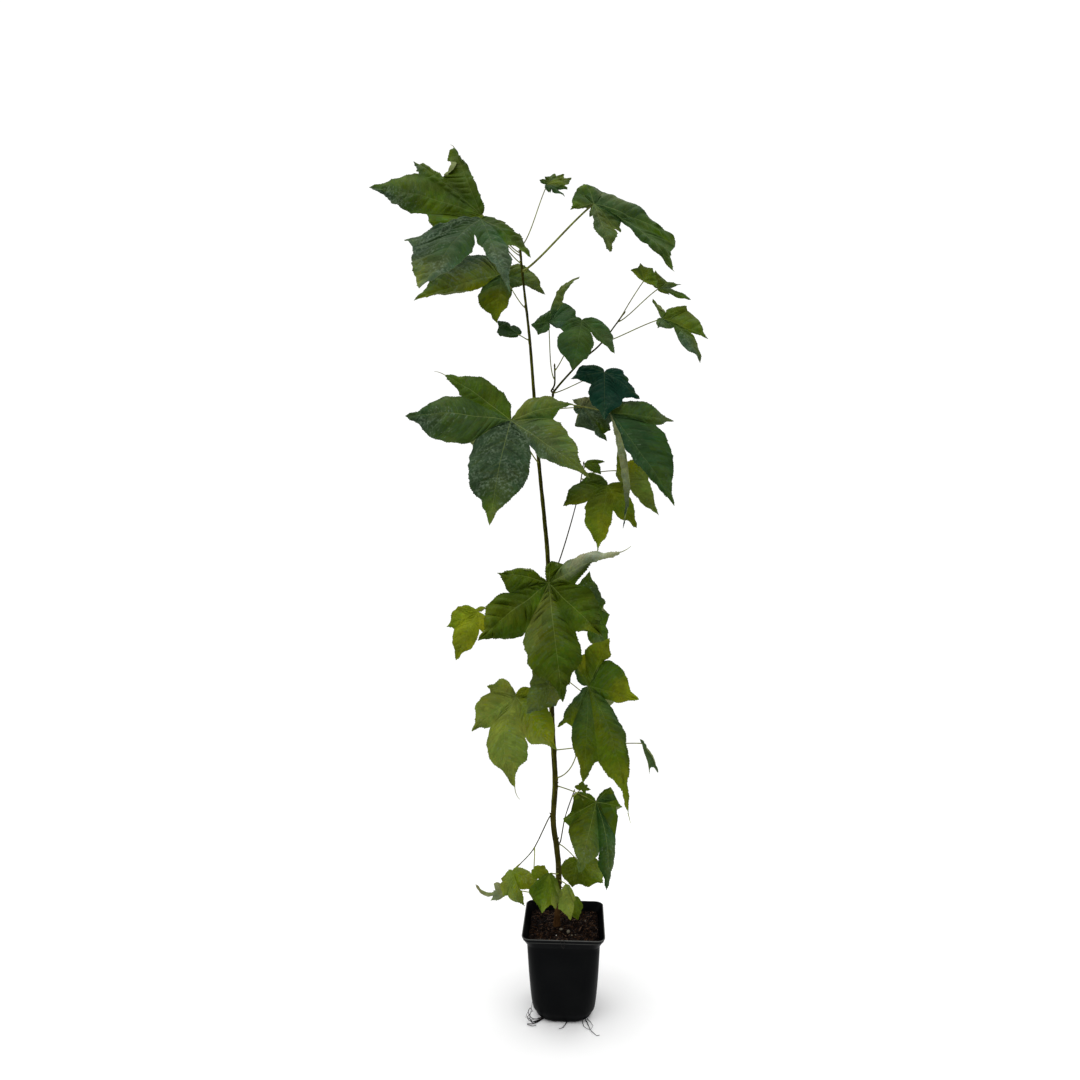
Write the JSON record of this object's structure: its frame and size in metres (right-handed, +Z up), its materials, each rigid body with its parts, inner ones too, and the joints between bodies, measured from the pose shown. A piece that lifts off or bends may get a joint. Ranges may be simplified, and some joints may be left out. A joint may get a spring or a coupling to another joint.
{
  "type": "sweetgum sapling in a pot",
  "caption": "Slender young sweetgum tree with star-shaped leaves on thin stalks, leaning a little, in a small square black nursery pot of dark peat.",
  "frame": {"origin": "centre of the pot's flat underside", "axes": "+Z up along the stem, +Y away from the viewer, +X to the viewer's right"},
  "size_m": [0.4031, 0.2404, 0.996],
  "materials": {
    "bark": "young bark, brown with fine lengthwise ridges",
    "shoot": "green-brown young shoot, satin",
    "leaf": "green leaf, satin above and paler below",
    "pot": "black moulded plastic, satin",
    "soil": "moist dark peat with fibres and grit"
  },
  "bodies": {
    "root": {"stem": "bark", "twig_right": "shoot", "twig_upper": "shoot", "twig_middle": "shoot", "twig_low_right": "shoot", "twig_low_left": "shoot", "leaf_01": "leaf", "leaf_02": "leaf", "leaf_03": "leaf", "leaf_04": "leaf", "leaf_05": "leaf", "leaf_06": "leaf", "leaf_07": "leaf", "leaf_08": "leaf", "leaf_09": "leaf", "leaf_10": "leaf", "leaf_11": "leaf", "leaf_12": "leaf", "leaf_13": "leaf", "leaf_14": "leaf", "leaf_15": "leaf", "leaf_16": "leaf", "leaf_17": "leaf", "leaf_18": "leaf", "leaf_19": "leaf", "leaf_20": "leaf", "leaf_21": "leaf", "leaf_22": "leaf", "leaf_23": "leaf", "leaf_24": "leaf", "leaf_25": "leaf", "leaf_26": "leaf", "leaf_27": "leaf", "leaf_28": "leaf", "leaf_29": "leaf", "leaf_30": "leaf", "leaf_31": "leaf", "leaf_32": "leaf", "leaf_33": "leaf", "leaf_34": "leaf", "leaf_35": "leaf", "leaf_36": "leaf", "leaf_37": "leaf", "leaf_38": "leaf", "pot": "pot", "soil": "soil"}
  },
  "joints": []
}
